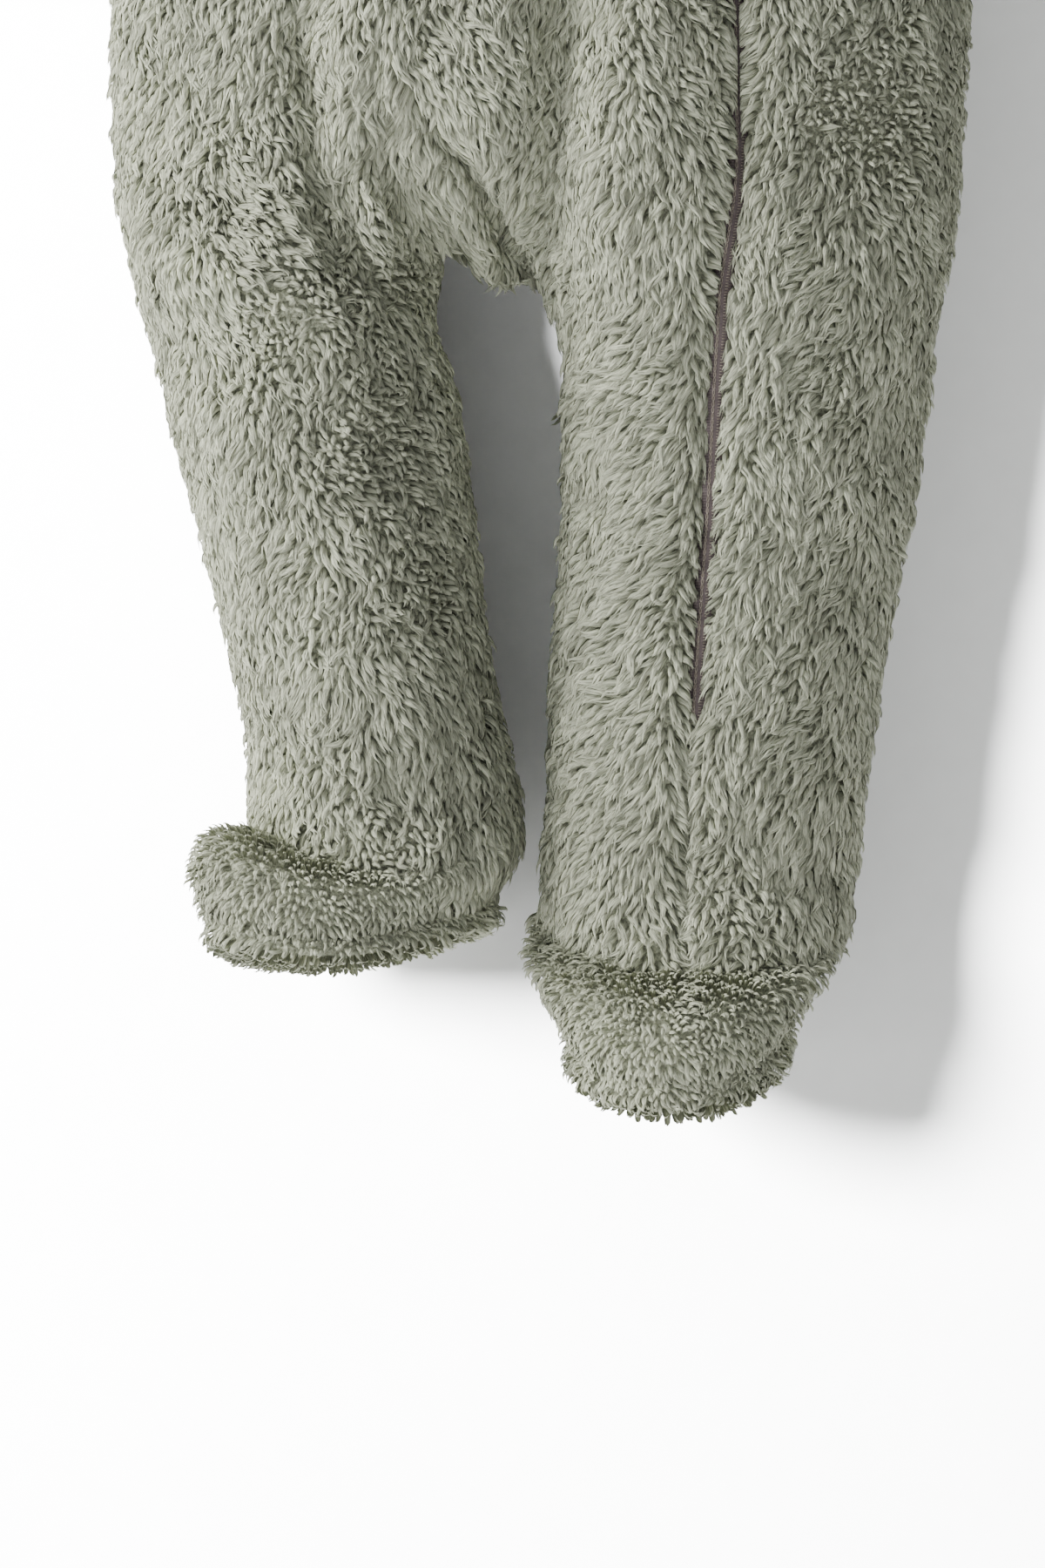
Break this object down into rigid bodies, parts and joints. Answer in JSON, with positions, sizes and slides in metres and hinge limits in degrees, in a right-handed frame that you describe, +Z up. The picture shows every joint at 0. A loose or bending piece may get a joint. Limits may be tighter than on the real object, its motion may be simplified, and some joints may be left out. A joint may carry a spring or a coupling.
{
  "type": "footed onesie",
  "caption": "Footed baby onesie in long-pile fleece, hanging filled out and hollow, with a slanting front zip from neck to ankle, long sleeves and soft soled feet.",
  "frame": {"origin": "middle of the neck opening, level with the neck ends of the shoulder seams, where it is held", "axes": "+X to the wearer's left, +Y to the back, +Z up"},
  "size_m": [0.584, 0.1294, 0.7729],
  "materials": {
    "fleece": "long curly pile",
    "zip_tape": "woven tape",
    "metal": "satin"
  },
  "bodies": {
    "garment": {"front_left": "fleece", "front_right": "fleece", "back_left": "fleece", "back_right": "fleece", "gusset": "fleece", "foot_upper_left": "fleece", "foot_upper_right": "fleece", "sole_left": "fleece", "sole_right": "fleece", "sleeve_left": "fleece", "sleeve_right": "fleece", "zip_chain": "zip_tape", "zip_slider": "metal"},
    "pull": {"zip_pull": "metal"}
  },
  "joints": [
    {"name": "pull_hinge", "type": "hinge", "parent": "garment", "child": "pull", "pos_m": [0.00158, -0.04338, -0.05063], "axis": [-0.9876, -0.055, -0.1467], "range_deg": [0, 135]}
  ]
}
